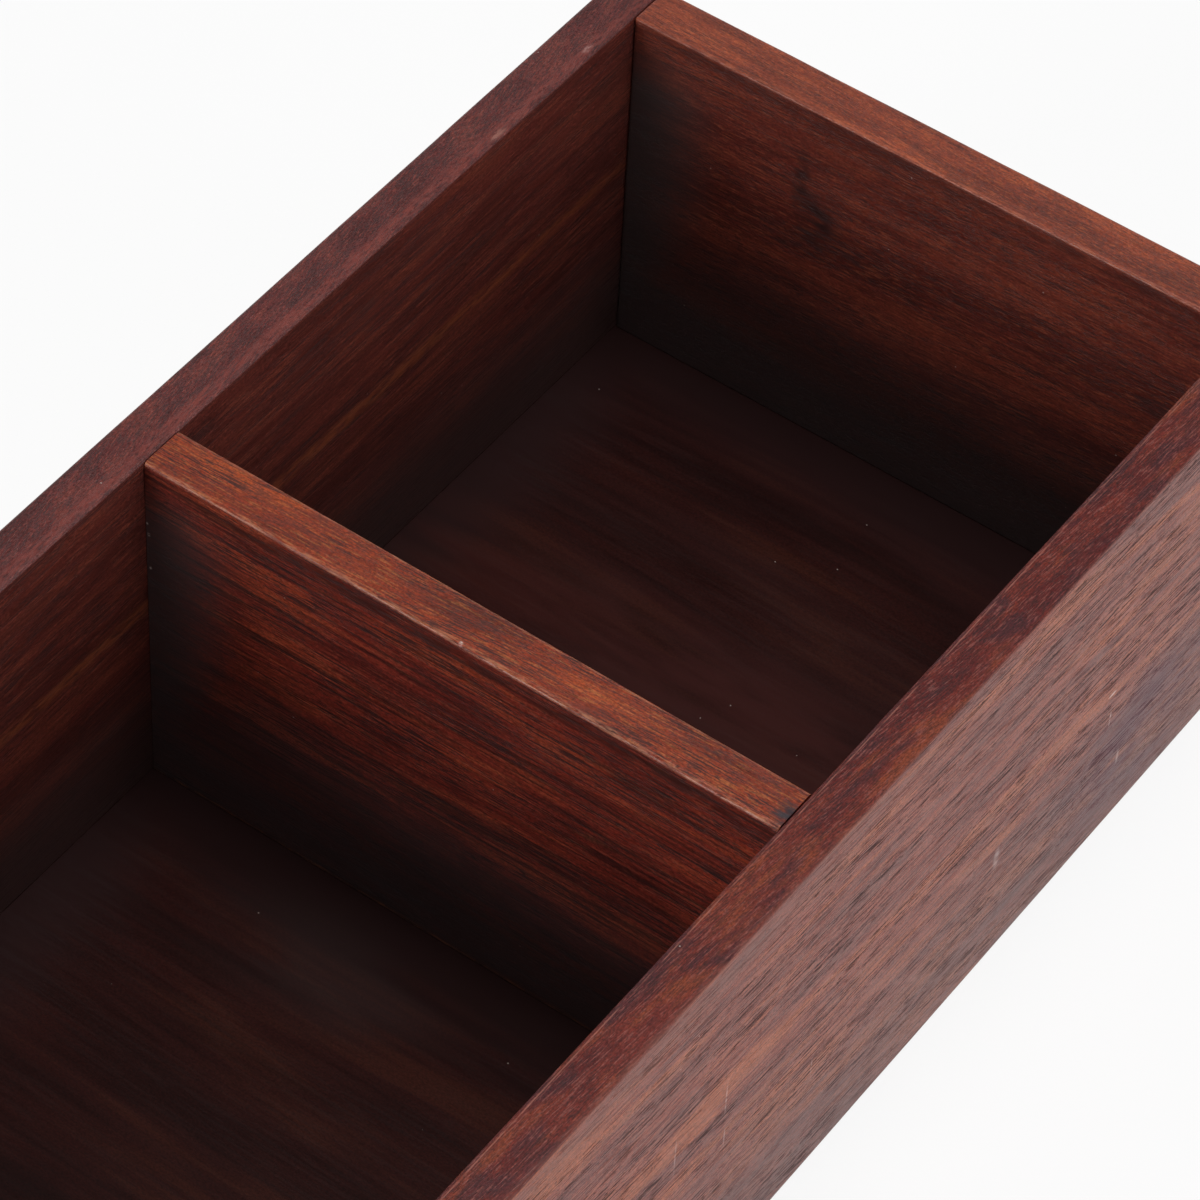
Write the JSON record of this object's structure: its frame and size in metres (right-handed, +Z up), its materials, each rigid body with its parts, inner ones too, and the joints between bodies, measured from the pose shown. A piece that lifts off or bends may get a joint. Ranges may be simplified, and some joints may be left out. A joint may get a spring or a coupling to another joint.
{
  "type": "tea bag organizer",
  "caption": "Open-topped rectangular wooden box with square compartments in one row, for standing tea bags upright on a table or in a drawer.",
  "frame": {"origin": "centre of the base, at the height of the walls' lower edges", "axes": "+X along the row of compartments, +Y across the box from the front wall to the back wall, +Z up out of the open top"},
  "size_m": [0.301, 0.1026, 0.0606],
  "materials": {
    "long_wall_wood": "dark red-brown stain under satin lacquer, grain along the length",
    "cross_board_wood": "dark red-brown stain under satin lacquer, grain across the width, tops a little paler",
    "panel_wood": "near-black brown stain under satin lacquer, grain across the width",
    "dowel_wood": "bare pale hardwood"
  },
  "bodies": {
    "root": {"front_wall": "long_wall_wood", "back_wall": "long_wall_wood", "left_end_wall": "cross_board_wood", "right_end_wall": "cross_board_wood", "divider_1": "cross_board_wood", "divider_2": "cross_board_wood", "bottom_panel": "panel_wood", "dowel_left_end_front_lower": "dowel_wood", "dowel_left_end_front_upper": "dowel_wood", "dowel_left_end_back_lower": "dowel_wood", "dowel_left_end_back_upper": "dowel_wood", "dowel_divider_1_front_lower": "dowel_wood", "dowel_divider_1_front_upper": "dowel_wood", "dowel_divider_1_back_lower": "dowel_wood", "dowel_divider_1_back_upper": "dowel_wood", "dowel_divider_2_front_lower": "dowel_wood", "dowel_divider_2_front_upper": "dowel_wood", "dowel_divider_2_back_lower": "dowel_wood", "dowel_divider_2_back_upper": "dowel_wood", "dowel_right_end_front_lower": "dowel_wood", "dowel_right_end_front_upper": "dowel_wood", "dowel_right_end_back_lower": "dowel_wood", "dowel_right_end_back_upper": "dowel_wood"}
  },
  "joints": []
}
